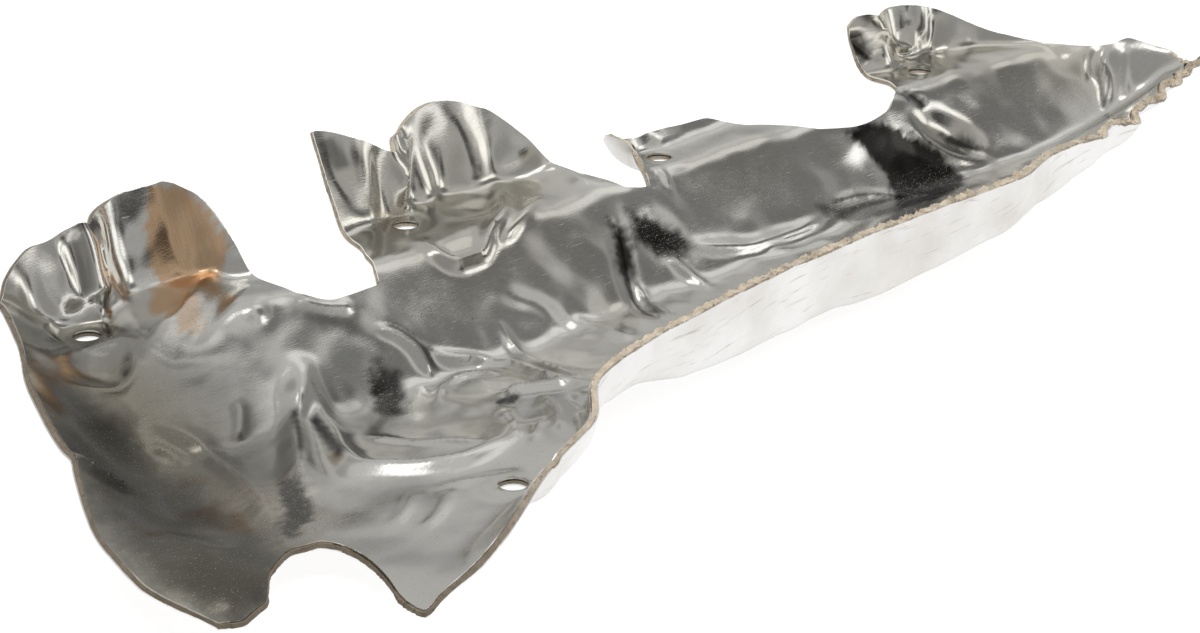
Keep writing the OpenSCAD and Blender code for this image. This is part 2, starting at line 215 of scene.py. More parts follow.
# Stains, marks and painted reflections. Areas: corners, softness, strength. Lines: points, half width,
# softness, strength.
STAINS = {
    # Soot: painted dark reflections of black places in the room in the strongest patches, mixed with soot and
    # grime in the softer ones.
    "soot_and_dark_reflection": [
        ([(66, -38), (70, -42), (68, -49), (62, -57), (58, -58), (59, -49), (62, -41)], 2.0, 0.95),
        ([(23, -72), (26, -76), (24, -86), (19, -95), (12, -101), (12, -96), (18, -86),
          (21, -77)], 1.2, 0.85),
        ([(162, -21), (166, -24), (164, -31), (160, -38), (154, -41), (154, -35), (158, -29)], 2.2, 1.0),
        ([(169, -20), (175, -23), (181, -29), (184, -35), (178, -40), (170, -36), (167, -29)], 2.6, 1.0),
        ([(264, -19), (274, -17), (284, -21), (292, -27), (299, -35), (300, -45), (292, -53),
          (274, -54), (262, -51),
          (266, -43), (271, -35), (268, -27)], 1.3, 1.0),
        ([(-18, -70), (0, -74), (14, -92), (8, -124), (-20, -122)], 10, 0.8),
        ([(-20, -16), (-6, -20), (6, -38), (15, -64), (10, -90), (-20, -80)], 9, 0.86),
        ([(2, -10), (24, -16), (38, -26), (34, -62), (26, -78), (8, -74), (-4, -56), (-4, -26)], 11, 0.6),
        ([(-16, 1), (8, 3), (18, -8), (16, -20), (0, -22), (-16, -16)], 5, 0.5),
        ([(-20, -20), (-6, -26), (-2, -40), (-12, -48), (-20, -44)], 6, 0.35),
        ([(30, -88), (44, -94), (40, -108), (26, -104)], 6, 0.3),
        ([(48, -40), (58, -44), (58, -64), (48, -60)], 5, 0.35),
        ([(236, -38), (256, -38), (268, -44), (276, -54), (258, -52), (242, -46)], 1.6, 0.7),
        ([(295, -10), (299, -10), (304, -16), (301, -19), (297, -15)], 1.0, 0.85),
        ([(304, -28), (313, -31), (318, -37), (312, -38), (306, -33)], 1.2, 0.85),
        ([(308, 22), (312, 22), (313, 16), (310, 12), (308, 15)], 1.0, 0.9),
        ([(74, -75), (79, -75), (80, -79), (76, -80)], 0.8, 0.95),
        ([(11, 17), (13, 14), (11, 7), (9, 8)], 0.8, 0.8),
        ([(55, -14), (66, -24), (72, -30), (70, -34), (60, -26), (51, -18)], 3.0, 0.45),
    ],
    # Dark lines along the beads and creases: painted dark reflections, joined to the soot map.
    "line": [
        ([(7, 30), (7, 22), (6, 12)], 1.0, 1.6, 0.55),
        ([(6, 30.5), (9, 30), (16, 33.5)], 1.2, 0.8, 0.75),
        ([(-18, -62), (-12, -64), (-6, -66)], 0.5, 1.8, 0.7),
        ([(64, -50), (54, -59), (46, -66)], 0.7, 1.5, 0.6),
        ([(42, -48), (39, -63), (36, -77)], 0.6, 1.0, 0.95),
        ([(39, -43), (35, -57), (30, -69)], 0.5, 0.9, 0.9),
        ([(73, -28), (78, -33), (80, -39), (80, -47)], 0.4, 0.9, 0.85),
        ([(155, -37), (153, -45), (148, -60)], 0.4, 0.9, 0.85),
        ([(158, -38), (156, -46), (151, -61)], 0.3, 0.9, 0.6),
        ([(96, 37), (97, 33), (98, 27)], 1.2, 1.2, 0.6),
        ([(-6, -25.5), (1, -27), (9, -22)], 0.5, 1.4, 0.5),
        ([(13, 3), (15, -14), (19, -21), (31, -22)], 0.3, 3.0, 0.35),
        ([(293, -17), (294, -28), (303, -38), (315, -42)], 0.3, 1.0, 0.6),
        ([(378, -28), (375, -33), (368, -43)], 0.3, 0.8, 0.6),
        ([(92, -84), (88, -80), (84, -75)], 0.2, 0.8, 0.6),
        ([(104, -42), (103, -50), (100, -64), (96, -78)], 0.2, 0.8, 0.5),
    ],
    # Orange patches on the left ear: a painted reflection of something orange.
    "orange_reflection": [
        ([(37, 41), (45, 36), (49, 27), (52, 15), (47, 9), (39, 4), (35, 5), (33, 12), (31, 20),
          (33, 30)], 0.9, 0.8),
        ([(31, 4), (35, 1), (29, -14), (23, -13), (26, -6)], 1.6, 0.55),
    ],
    "brown": [
        ([(-20, -10), (10, -14), (20, -40), (24, -80), (8, -122), (-20, -120)], 14, 0.85),
        ([(-8, 6), (10, 8), (12, -4), (2, -9), (-9, -4)], 5, 0.5),
        ([(146, 2), (142, -6), (131, -11), (126, -8), (137, 3)], 2.5, 0.6),
        ([(101, 16), (110, 19), (115, 12), (108, 8)], 2, 0.8),
        ([(156, 20), (164, 16), (162, 10), (156, 14)], 2, 0.6),
        ([(312, 26), (322, 22), (330, 13), (324, 8), (313, 12)], 4, 0.55),
        ([(352, 12), (384, -20), (380, -40), (352, -30)], 12, 0.45),
        ([(194, -6), (240, -8), (236, -26), (200, -26)], 10, 0.3),
        ([(86, 40), (150, 40), (166, 0), (150, -32), (90, -32), (84, 0)], 14, 0.3),
        ([(298, 30), (345, 26), (380, -20), (335, -26), (298, -6)], 10, 0.32),
        ([(-20, 36), (16, 38), (20, 8), (-20, 6)], 8, 0.2),
        ([(139, -40), (155, -43), (146, -60), (136, -56)], 5, 0.35),
        ([(292, -18), (320, -26), (322, -44), (296, -40)], 6, 0.35),
    ],
    "dust": [
        ([(60, -40), (68, -38), (66, -58), (56, -60)], 3, 0.9),
        ([(12, -70), (27, -72), (22, -102), (8, -102)], 3, 0.9),
        ([(52, 6), (46, -2), (20, -22), (14, -18), (36, -2)], 2, 1.0),
        ([(80, -24), (98, -26), (99, -36), (84, -32)], 3, 0.9),
        ([(126, -12), (148, -4), (146, 4), (128, -4)], 2, 0.8),
        ([(168, -20), (188, -30), (184, -44), (166, -40)], 3, 0.9),
        ([(238, -34), (300, -38), (290, -54), (240, -50)], 4, 1.0),
        ([(-20, -30), (10, -30), (20, -110), (-20, -118)], 14, 0.35),
        ([(196, -18), (236, -22), (230, -36), (200, -34)], 6, 0.6),
        ([(330, -10), (376, -30), (376, -48), (330, -50)], 8, 0.4),
        ([(102, 18), (114, 18), (112, 6), (102, 8)], 3, 0.7),
        ([(-6, 4), (10, 4), (10, -8), (-8, -8)], 4, 0.4),
    ],
}
# Torn front rim: stations, and how far the inner skin stops short of the fibre there.
TEAR_STOPS = [-18, 60, 84, 150, 215, 240, 262, 300, 330, 360, 398]
TEAR_DEPTHS = [0.1, 0.1, 0.5, 0.6, 0.7, 0.8, 1.2, 1.3, 1.0, 1.2, 1.4]
# Crumpled steps of the rim at the pointed end: station and height, and how far in from the rim they reach.
RIM_FOLDS = [(298, 0), (308, -2.6), (312, -3.6), (316, -0.8), (324, 0.4), (329, -1.2), (334, -4.0),
             (338, -1.8), (342, 0.6), (350, 0.4), (356, -0.6), (362, -2.6), (366, -1.2), (369, 1.2),
             (375, -0.4), (379, -1.8), (382, 0.8), (385, -0.6), (388, -1.6), (391, 1.0), (394, -1.0),
             (398, 0)]
FOLD_REACH = 15
# Stations, how far the rim has swollen there, and how far in from the rim that reaches.
SWELL_STOPS = [-18, 60, 90, 140, 200, 240, 270, 310, 350, 398]
SWELL_DEPTHS = [0.0, 0.0, 0.4, 0.6, 0.9, 1.0, 1.1, 0.9, 0.6, 0.5]
SWELL_REACH = 7
# Uneven teeth: how many to a millimetre, how much they waver and how fast the waver goes.
LONG_TEETH = (0.072, 0.22, 0.23)
SMALL_TEETH = (0.31, 0.2, 0.5)
SKIN_TEETH = (0.071, 0.3, 0.19)
# Stations over which the teeth of the rim set in, share of a long tooth that climbs, and depths cut away:
# everywhere, by the long teeth and by the small ones.
TEETH_START = (300, 345)
CLIMB = 0.8
TEETH_DEPTHS = (0.2, 1.4, 0.7)
# Unevenness of the sheet and of the edges of stains: seed, waves, longest and shortest length, size.
SHEET_WAVES = [(3, 10, 64, 24, 0.7), (5, 16, 22, 9, 0.16), (7, 20, 7, 3, 0.02)]
STAIN_WAVES = (8, 9, 3, 0.7)
STAIN_RIPPLES = (31, 14, 3.5, 1.0, 0.9)
FLUFF_WAVES = (11, 24, 6, 2.0, 0.4)
STAIN_MAPS = ("soot_and_dark_reflection", "orange_reflection", "brown", "dust")
# Colours of the stains, the marks and the painted reflections.
GRIME = (0.42, 0.365, 0.255)
# Colour of the painted orange reflection.
REFLECTED_ORANGE = (0.60, 0.34, 0.14)
# Black of the painted dark reflections and of the soot.
SOOT_AND_REFLECTED_BLACK = (0.012, 0.011, 0.010)
DARK_SPECK = (0.10, 0.08, 0.06)
PALE_SPECK = (0.85, 0.80, 0.70)
SMUDGE = (0.62, 0.58, 0.53)
SCORE = (0.42, 0.37, 0.33)
PORE = (0.14, 0.10, 0.07)
AGED = (0.10, 0.075, 0.05)
# How much darker the dull places of the skin and the shaded ones of the fibre are.
DULL_SHARE = 0.80
SHADE_SHARE = 0.62
# Where along the frame the fibre's ageing fades out, in metres, and its strength at the left end.
AGED_SPAN = (-0.16, -0.10)
AGED_SHARE = 0.72
# The maps themselves: step between points in millimetres, stations and lengths.
MAP_STEP = 0.5
MAP_U = np.arange(LEFT_END - 8, RIGHT_END + 8, MAP_STEP)
MAP_S = np.arange(-180.0, 50.0, MAP_STEP)
# Reach in millimetres over which the layers under the inner skin smooth its sharp creases.
BACK_SOFTENING = 3.0
# Grid of a flat blank: margin past both ends, share of its columns up to a station, front and back lengths.
SHEET_MARGIN = 6
DENSE_SHARE, DENSE_END = 0.60, 192
SHEET_FRONT, SHEET_BACK = -160, 46


def ease(start, end, x):
    """Smooth step from 0 at start to 1 at end."""
    t = np.clip((x - start) / (end - start), 0, 1)
    return t * t * (3 - 2 * t)


def curve(table, x):
    """Smooth curve through the points of a table, level past its ends."""
    px, py = np.array(table, float).T
    run = np.diff(py) / np.diff(px)
    before, after = run[:-1], run[1:]
    same = before * after > 0
    total = np.where(same, before + after, 1)
    bend = np.where(same, 2 * before * after / total, 0)
    lean = np.concatenate([run[:1], bend, run[-1:]])
    i = np.clip(np.searchsorted(px, x, side="right") - 1, 0, len(px) - 2)
    w = px[i + 1] - px[i]
    k = np.clip((x - px[i]) / w, 0, 1)
    return (py[i] * (1 + 2 * k) * (1 - k) ** 2 + lean[i] * w * k * (1 - k) ** 2
            + py[i + 1] * k * k * (3 - 2 * k) + lean[i + 1] * w * k * k * (k - 1))


def section(u, rim_line=FORM_LINE):
    """Corners of the cross-section at each station: length of sheet, distance and height, rim first."""
    rim_y, rim_z = curve(rim_line, u), curve(RIM_HEIGHT, u)
    foot_y = rim_y + curve(FOOT_INSET, u)
    foot_z = np.minimum(curve(FOOT_HEIGHT, u), rim_z + 6)
    ear_y = curve(EAR_FOOT, u)
    shelf_y = np.minimum(-12, ear_y - 4)
    low_y = np.minimum(curve(TROUGH_LINE, u), shelf_y - 8)
    tilt = np.radians(curve(EAR_ANGLE, u))
    boss = np.full_like(u, BOSS_HEIGHT)
    y = [rim_y, foot_y, low_y, shelf_y, ear_y, ear_y + REACH * np.cos(tilt)]
    z = [rim_z, foot_z, curve(TROUGH_HEIGHT, u), boss, boss, boss + REACH * np.sin(tilt)]
    s = [None, None, None, shelf_y, ear_y, ear_y + REACH]
    for k in (2, 1, 0):
        s[k] = s[k + 1] - np.hypot(y[k + 1] - y[k], z[k + 1] - z[k])
    far = s[1] - s[0]
    beyond = 30
    s.insert(0, s[0] - beyond)
    y.insert(0, y[0] - beyond * (y[1] - y[0]) / far)
    z.insert(0, z[0] - beyond * (z[1] - z[0]) / far)
    return np.array(s), np.array(y), np.array(z)


def lookup(s, lengths, values):
    """Straight runs between the corners of each section."""
    out = values[0].copy()
    for k in range(len(lengths) - 1):
        t = np.clip((s - lengths[k]) / (lengths[k + 1] - lengths[k]), 0, 1)
        out = out + t * (values[k + 1] - values[k])
    return out


def rounded(s, lengths, values):
    """The same runs with their corners rounded over the stretch of a bend."""
    total, weight = 0, 0
    for k in range(-4, 5):
        share = 1 + math.cos(k * math.pi / 5)
        total = total + share * lookup(s + k * BEND_HALF / 5, lengths, values)
        weight += share
    return total / weight


def along_line(x, y, points):
    """Distance to a smooth line through points, and how far along it the nearest place is."""
    knots = np.array(points, float)
    t = np.concatenate([[0], np.cumsum(np.hypot(*np.diff(knots, axis=0).T))])
    steps = np.linspace(0, t[-1], max(8, int(t[-1] / 1.5)))
    line = np.stack([curve(list(zip(t, knots[:, 0])), steps), curve(list(zip(t, knots[:, 1])), steps)], 1)
    nearest = np.full(x.shape, 1e9)
    place = np.zeros(x.shape)
    for a, b, start in zip(line[:-1], line[1:], steps[:-1]):
        d = b - a
        size = math.hypot(*d)
        k = np.clip(((x - a[0]) * d[0] + (y - a[1]) * d[1]) / size ** 2, 0, 1)
        gap = np.hypot(x - a[0] - k * d[0], y - a[1] - k * d[1])
        closer = gap < nearest
        nearest = np.where(closer, gap, nearest)
        place = np.where(closer, (start + k * size) / t[-1], place)
    return nearest, place


def window(points, margin):
    """Part of the map round some points, with its stations and lengths."""
    low, high = np.min(points, 0) - margin, np.max(points, 0) + margin
    i = slice(*np.searchsorted(MAP_U, (low[0], high[0])))
    j = slice(*np.searchsorted(MAP_S, (low[1], high[1])))
    return (i, j), *np.meshgrid(MAP_U[i], MAP_S[j], indexing="ij")


def inside(u, s, corners):
    """Distance to the border of an area, negative inside it."""
    pts = np.array(corners, float)
    gap = np.full(u.shape, 1e9)
    odd = np.zeros(u.shape, bool)
    for a, b in zip(pts, np.roll(pts, -1, 0)):
        d = b - a
        k = np.clip(((u - a[0]) * d[0] + (s - a[1]) * d[1]) / (d @ d), 0, 1)
        gap = np.minimum(gap, np.hypot(u - a[0] - k * d[0], s - a[1] - k * d[1]))
        crosses = (a[1] > s) != (b[1] > s)
        odd ^= crosses & (u < a[0] + (s - a[1]) * d[0] / (d[1] if d[1] else 1))
    return np.where(odd, -gap, gap)


def front_cut(u):
    """Length of sheet at which the front rim is cut."""
    lengths, ys, _ = section(u)
    tries = np.linspace(-175, -60, 700)
    grid = np.broadcast_to(tries, (len(u), len(tries)))
    depth = rounded(grid, lengths[:, :, None], ys[:, :, None])
    target = curve(RIM_LINE, u)
    return np.array([np.interp(t, row, tries) for t, row in zip(target, depth)])


def relief_map():
    """Height of the ridges, creases and hollows over the smooth form."""
    height = np.zeros((len(MAP_U), len(MAP_S)))
    for points, rise, half, sharp in RIDGES:
        place, u, s = window(points, 4 * half)
        gap, along = along_line(u, s, points)
        end = np.minimum(along, 1 - along)
        crest = (1 - sharp) * np.exp(-(gap / half) ** 2) + sharp * np.exp(-gap / (0.55 * half))
        height[place] += rise * (0.2 + 0.8 * ease(0, 0.2, end)) * crest
    for cu, cs, long_r, short_r, turn, rise in HOLLOWS:
        place, u, s = window([(cu, cs)], 2.2 * max(long_r, short_r))
        c, d = math.cos(math.radians(turn)), math.sin(math.radians(turn))
        a = ((u - cu) * c + (s - cs) * d) / long_r
        b = (-(u - cu) * d + (s - cs) * c) / short_r
        height[place] += rise * np.exp(-(a * a + b * b) ** 1.5)
    u, s = np.meshgrid(MAP_U, MAP_S, indexing="ij")
    folds = curve(RIM_FOLDS, MAP_U) * (MAP_U > RIM_FOLDS[0][0])
    height += folds[:, None] * (1 - ease(0, FOLD_REACH, s - front_cut(MAP_U)[:, None]))
    height += sum(waves(u, s, *wave) for wave in SHEET_WAVES)
    return height


def stain_map(name):
    """Strength of one kind of stain or painted reflection over the sheet, from 0 to 1."""
    out = np.zeros((len(MAP_U), len(MAP_S)))
    for corners, soft, strength in STAINS[name]:
        place, u, s = window(corners, soft + 2)
        wobble = waves(u, s, len(corners), *STAIN_WAVES)
        wobble = wobble + waves(u, s, *STAIN_RIPPLES)
        mark = strength * (1 - ease(-soft, soft, inside(u, s, corners) + wobble))
        out[place] = np.maximum(out[place], mark)
    # The lines of painted dark reflection join the soot map.
    if name == "soot_and_dark_reflection":
        for points, half, soft, strength in STAINS["line"]:
            place, u, s = window(points, half + soft + 1)
            gap, along = along_line(u, s, points)
            ends = ease(0, 0.15, np.minimum(along, 1 - along))
            mark = strength * (1 - ease(half, half + soft, gap)) * ends
            out[place] = np.maximum(out[place], mark)
    return out


def read_map(values, u, s):
    """Value of a map at stations and lengths, blended between its points."""
    i = np.clip((u - MAP_U[0]) / MAP_STEP, 0, len(MAP_U) - 1.001)
    j = np.clip((s - MAP_S[0]) / MAP_STEP, 0, len(MAP_S) - 1.001)
    a, b = i.astype(int), j.astype(int)
    p, q = i - a, j - b
    return ((1 - p) * (1 - q) * values[a, b] + p * (1 - q) * values[a + 1, b]
            + (1 - p) * q * values[a, b + 1] + p * q * values[a + 1, b + 1])


def waves(x, y, seed, count, longest, shortest, size):
    """Gentle unevenness of thin sheet: a sum of seeded waves."""
    rng = np.random.default_rng(seed)
    out = np.zeros_like(x)
    for _ in range(count):
        length = longest * (shortest / longest) ** rng.random()
        way, phase = rng.random(2) * 2 * math.pi
        ahead = x * math.cos(way) + y * math.sin(way)
        out += (length / longest) * np.sin(ahead * 2 * math.pi / length + phase)
    return size * out / math.sqrt(count)


def softened(values, reach):
    """A map with its sharp crests blurred over a reach in millimetres."""
    half = int(reach / MAP_STEP)
    weights = np.cos(np.linspace(-1, 1, 2 * half + 3)[1:-1] * math.pi / 2) ** 2
    for axis in (0, 1):
        wide = np.pad(values, [(half, half) if k == axis else (0, 0) for k in (0, 1)], mode="edge")
        places = np.arange(values.shape[axis])
        values = sum(np.take(wide, places + i, axis) * w for i, w in enumerate(weights)) / weights.sum()
    return values


RELIEF = relief_map()
BACK_RELIEF = softened(RELIEF, BACK_SOFTENING)


def form(u, s):
    """Inner face of the pressed sheet at a station and a length of sheet, in the tables' millimetres."""
    lengths, ys, zs = section(u)
    y = rounded(s, lengths, ys)
    z = rounded(s, lengths, zs)
    edge_sweep = curve(SWEEP, y)
    x = (u + (1 - ease(0, 100, u - LEFT_END)) * edge_sweep
         + (1 - ease(0, 22, u - LEFT_END)) * (curve(LEFT_EDGE, y) - edge_sweep))
    for edge, lean, start, end, fade in LEANS:
        up = np.maximum((s - start) / (end - start), 0)
        x = x - np.where(u >= edge - 4, lean * up * (1 - ease(0, 1, (u - edge) / fade)), 0)
    edge, width, reach, height, low, high = ROLL
    turn = np.clip((u - edge) / width, 0, 1)
    rolled = np.where(u > edge - 2, ease(low, high, s), 0)
    x = x - rolled * reach * np.sin(np.radians(200) * (1 - turn))
    left = np.maximum(1 - (u - LEFT_END) / LEFT_FADE, 0) ** 2 * (1 - ease(4, 26, y))
    z = z + left * (curve(LEFT_HEIGHT, y) - z) + rolled * height * (1 - turn) ** 2
    return np.stack([x, y, z], -1)


def sheet(u, s, relief=RELIEF):
    """The smooth form with the ridges pressed along its normal, and flat seats round the bolts."""
    step = 0.5
    place = form(u, s)
    normal = np.cross(form(u + step, s) - form(u - step, s), form(u, s + step) - form(u, s - step))
    normal /= np.linalg.norm(normal, axis=-1, keepdims=True)
    lift = read_map(relief, u, s)
    seated = np.ones_like(u)
    for cx, cy, cz in SEATS:
        cx = cx + (1 - ease(0, 100, cx - LEFT_END)) * curve(SWEEP, cy)
        w = ease(SEAT_R, SEAT_R + 4, np.hypot(place[:, 0] - cx, place[:, 1] - cy))
        seated = seated * w
        place[:, 2] = cz + w * (place[:, 2] - cz)
    return place + (lift * seated)[:, None] * normal


def pressed(u, s, depth, relief=RELIEF):
    """Points at a depth behind the inner face."""
    step = 0.7
    normal = np.cross(sheet(u + step, s, relief) - sheet(u - step, s, relief),
                      sheet(u, s + step, relief) - sheet(u, s - step, relief))
    normal /= np.linalg.norm(normal, axis=-1, keepdims=True)
    return sheet(u, s, relief) - depth[:, None] * normal


def spaced(values, step):
    """A run of (station, length) points spread evenly along their own length."""
    t = np.concatenate([[0], np.cumsum(np.hypot(*np.diff(values, axis=0).T))])
    at = np.linspace(0, t[-1], max(2, round(t[-1] / step)))
    return np.stack([np.interp(at, t, values[:, 0]), np.interp(at, t, values[:, 1])], 1)


def outline(set_back, ragged, seed):
    """Closed outline of the flat blank, set back by a rule and roughened by a ragged cut."""
    u = np.linspace(LEFT_END, RIGHT_END, 2600)
    front = spaced(np.stack([u, front_cut(u) + jag(u)], 1), 0.7)
    back = spaced(np.stack([u[::-1], curve(BACK_EDGE, u[::-1])], 1), 0.8)
    right = spaced(np.array([front[-1], back[0]]), 0.7)
    left = spaced(np.array([back[-1], front[0]]), 1.0)
    line = np.concatenate([front[:-1], right[:-1], back[:-1], left[:-1]])
    torn = np.zeros(len(line))
    torn[:len(front) + len(right) - 2] = 1
    torn = np.convolve(torn, np.ones(5) / 5, "same")
    ahead = np.roll(line, -1, 0) - np.roll(line, 1, 0)
    out = np.stack([ahead[:, 1], -ahead[:, 0]], 1) / np.hypot(*ahead.T)[:, None]
    rng = np.random.default_rng(seed)
    rough = rng.normal(size=len(line))
    even = np.convolve(np.tile(rough, 3), np.ones(5) / 5, "same")[len(line):2 * len(line)]
    rough = 0.5 * rough + 0.5 * even
    return line + out * (ragged(line[:, 0], torn) * rough - torn * set_back(line[:, 0]))[:, None]


def teeth(u, rate, waver, waver_rate):
    """How far along its own tooth each station lies, from 0 to 1."""
    return (u * rate + waver * np.sin(u * waver_rate)) % 1


def jag(u):
    """Depth of the teeth torn out towards the pointed end, from the clean rim line."""
    run = teeth(u, *LONG_TEETH)
    long_tooth = np.minimum(run / CLIMB, (1 - run) / (1 - CLIMB))
    small_tooth = np.abs(teeth(u, *SMALL_TEETH) - 0.5) * 2
    least, long_depth, small_depth = TEETH_DEPTHS
    return ease(*TEETH_START, u) * (least + long_depth * long_tooth + small_depth * small_tooth)


def tear(u):
    """How far the inner skin stops short of the torn front rim, in uneven steps."""
    steps = np.abs(teeth(u, *SKIN_TEETH) - 0.5) * 2
    return np.interp(u, TEAR_STOPS, TEAR_DEPTHS) * (0.75 + 0.5 * steps)


def rim_gap(u, s):
    """Length of sheet from the front rim."""
    stops = np.linspace(LEFT_END - SHEET_MARGIN, RIGHT_END + SHEET_MARGIN, 600)
    return s - np.interp(u, stops, front_cut(stops) + jag(stops))


def edge_gap(u, s):
    """Length of sheet from the nearest cut edge."""
    across = np.minimum(curve(BACK_EDGE, u) - s, np.minimum(u - LEFT_END, RIGHT_END - u))
    return np.minimum(rim_gap(u, s), across)


def flare(u, s):
    """How far the torn rim has swollen inwards."""
    return np.interp(u, SWELL_STOPS, SWELL_DEPTHS) * (1 - ease(0, SWELL_REACH, rim_gap(u, s)))


# Making


def fresh():
    """Nothing selected, in object mode."""
    bpy.ops.object.select_all(action="DESELECT")


def apply_modifiers(obj):
    bpy.context.view_layer.objects.active = obj
    for modifier in list(obj.modifiers):
        bpy.ops.object.modifier_apply(modifier=modifier.name)


def vertices(obj):
    co = np.empty(len(obj.data.vertices) * 3, np.float32)
    obj.data.vertices.foreach_get("co", co)
    return co.reshape(-1, 3).astype(float)


def move_vertices(obj, co):
    obj.data.vertices.foreach_set("co", np.asarray(co, np.float32).ravel())
    obj.data.update()


def blank(name, trim, columns, rows):
    """A flat plate of stations and lengths, one unit thick, trimmed to an outline."""
    fresh()
    bpy.ops.mesh.primitive_grid_add(x_subdivisions=columns, y_subdivisions=rows, size=2)
    plate = bpy.context.object
    plate.name = plate.data.name = name
    co = vertices(plate)
    across, along = (co[:, 0] + 1) / 2, (co[:, 1] + 1) / 2
    ends = [LEFT_END - SHEET_MARGIN, DENSE_END, RIGHT_END + SHEET_MARGIN]
    co[:, 0] = np.interp(across, [0, DENSE_SHARE, 1], ends)
    co[:, 1] = SHEET_FRONT + along * (SHEET_BACK - SHEET_FRONT)
    move_vertices(plate, co)
    thick = plate.modifiers.new("Thickness", "SOLIDIFY")
    thick.thickness = 1
    thick.offset = -1
    apply_modifiers(plate)
    fresh()
    bpy.ops.mesh.primitive_circle_add(vertices=len(trim), fill_type="NGON")
    cutter = bpy.context.object
    move_vertices(cutter, np.column_stack([trim, np.full(len(trim), -2.0)]))
    bpy.ops.object.mode_set(mode="EDIT")
    bpy.ops.mesh.select_all(action="SELECT")
    bpy.ops.mesh.extrude_region_move(TRANSFORM_OT_translate={"value": (0, 0, 4)})
    bpy.ops.mesh.select_all(action="SELECT")
    bpy.ops.mesh.normals_make_consistent(inside=False)
    bpy.ops.object.mode_set(mode="OBJECT")
    cut = plate.modifiers.new("Trim", "BOOLEAN")
    cut.operation = "INTERSECT"
    cut.solver = "MANIFOLD"
    cut.object = cutter
    apply_modifiers(plate)
    bpy.data.objects.remove(cutter)
    if not plate.data.polygons:
        raise RuntimeError(f"the trim left nothing of {name}")
    return plate


def press(plate, top, bottom, relief=RELIEF):
    """Presses a flat plate into the form, its two faces at the given depths, and keeps its flat places."""
    co = vertices(plate)
    u, s = co[:, 0], co[:, 1]
    depth = np.where(co[:, 2] > -0.5, top(u, s), bottom(u, s))
    flat = plate.data.attributes.new("flat", "FLOAT_VECTOR", "POINT")
    flat.data.foreach_set("vector", np.column_stack([u, s, depth]).astype(np.float32).ravel())
    place = (pressed(u, s, depth, relief) - ORIGIN) * MM
    move_vertices(plate, place)


def stain(plate):
    """Stores the strength of each kind of stain and painted reflection at every point of a pressed plate."""
    flat = np.empty(len(plate.data.vertices) * 3, np.float32)
    plate.data.attributes["flat"].data.foreach_get("vector", flat)
    u, s = flat.reshape(-1, 3)[:, :2].astype(float).T
    for name in STAIN_MAPS:
        layer = plate.data.attributes.new(name, "FLOAT", "POINT")
        layer.data.foreach_set("value", read_map(stain_map(name), u, s).astype(np.float32))


def punch(plate, radius):
    """Cuts the bolt holes."""
    for name, place in MOUNTS.items():
        fresh()
        bpy.ops.mesh.primitive_cylinder_add(vertices=64, radius=radius, depth=16 * MM, location=place)
        tool = bpy.context.object
        cut = plate.modifiers.new(name, "BOOLEAN")
        cut.operation = "DIFFERENCE"
        cut.solver = "MANIFOLD"
        cut.object = tool
        apply_modifiers(plate)
        bpy.data.objects.remove(tool)


def finish_piece(obj, material, node):
    fresh()
    obj.select_set(True)
    bpy.context.view_layer.objects.active = obj
    bpy.ops.object.shade_smooth_by_angle(angle=math.radians(50))
    obj.data.materials.clear()
    obj.data.materials.append(material)
    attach(obj, "root")
    if node:
        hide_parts(node)
    fresh()


# Materials

# Sockets of the Mix node, whose names repeat: factor and two colours, factor and two numbers, colour out.
MIX_COLOURS = (0, 6, 7)
MIX_NUMBERS = (0, 2, 3)
MIX_COLOUR_OUT = 2


class Graph:
    """Adds nodes to a node tree."""

    def __init__(self, tree):
        self.nodes, self.links = tree.nodes, tree.links

    def feed(self, value, socket):
        """Puts a constant or the output of a node into a socket."""
        if isinstance(value, bpy.types.NodeSocket):
            self.links.new(value, socket)
        else:
            socket.default_value = value

    def node(self, kind, **settings):
        made = self.nodes.new("ShaderNode" + kind)
        for key, value in settings.items():
            if key in made.inputs:
                self.feed(value, made.inputs[key])
            else:
                setattr(made, key, value)
        return made

    def mapped(self, value, low, high, out_low, out_high):
        """Value carried from one range to another."""
        ends = {"From Min": low, "From Max": high, "To Min": out_low, "To Max": out_high}
        return self.node("MapRange", Value=value, **ends).outputs["Result"]

    def maths(self, operation, *values):
        made = self.node("Math", operation=operation, use_clamp=operation in ("ADD", "MULTIPLY"))
        for value, socket in zip(values, made.inputs):
            self.feed(value, socket)
        return made.outputs[0]

    def add(self, one, other):
        return self.maths("ADD", one, other)

    def times(self, one, other):
        return self.maths("MULTIPLY", one, other)

    def mix(self, kind, sockets, *values):
        made = self.node("Mix", data_type=kind)
        for value, socket in zip(values, sockets):
            self.feed(value, made.inputs[socket])
        return made

    def blend(self, factor, under, over):
        """Colour over colour by a factor."""
        colours = [(*colour, 1) if isinstance(colour, tuple) else colour for colour in (under, over)]
        return self.mix("RGBA", MIX_COLOURS, factor, *colours).outputs[MIX_COLOUR_OUT]

    def grain(self, place, scale, detail=3.0, stretch=(1, 1, 1), turn=0.0):
        """Noise on the object or on the flat sheet, stretched and turned."""
        turned = self.node("Mapping", Vector=place, Scale=stretch, Rotation=(0, 0, math.radians(turn)))
        noise = self.node("TexNoise", Vector=turned.outputs[0], Scale=scale, Detail=detail, Roughness=0.6)
        return noise.outputs["Fac"]

    def attribute(self, name, output="Fac"):
        return self.node("Attribute", attribute_name=name).outputs[output]

    def object_place(self):
        return self.node("TexCoord").outputs["Object"]

    def bump(self, shader, height, strength, distance):
        made = self.node("Bump", Height=height, Strength=strength, Distance=distance)
        self.feed(made.outputs["Normal"], shader.inputs["Normal"])


def new_material(name, **settings):
    material = bpy.data.materials.new(name)
    material.use_nodes = True
    shader = material.node_tree.nodes["Principled BSDF"]
    for key, value in settings.items():
        shader.inputs[key].default_value = value
    return material, Graph(material.node_tree), shader


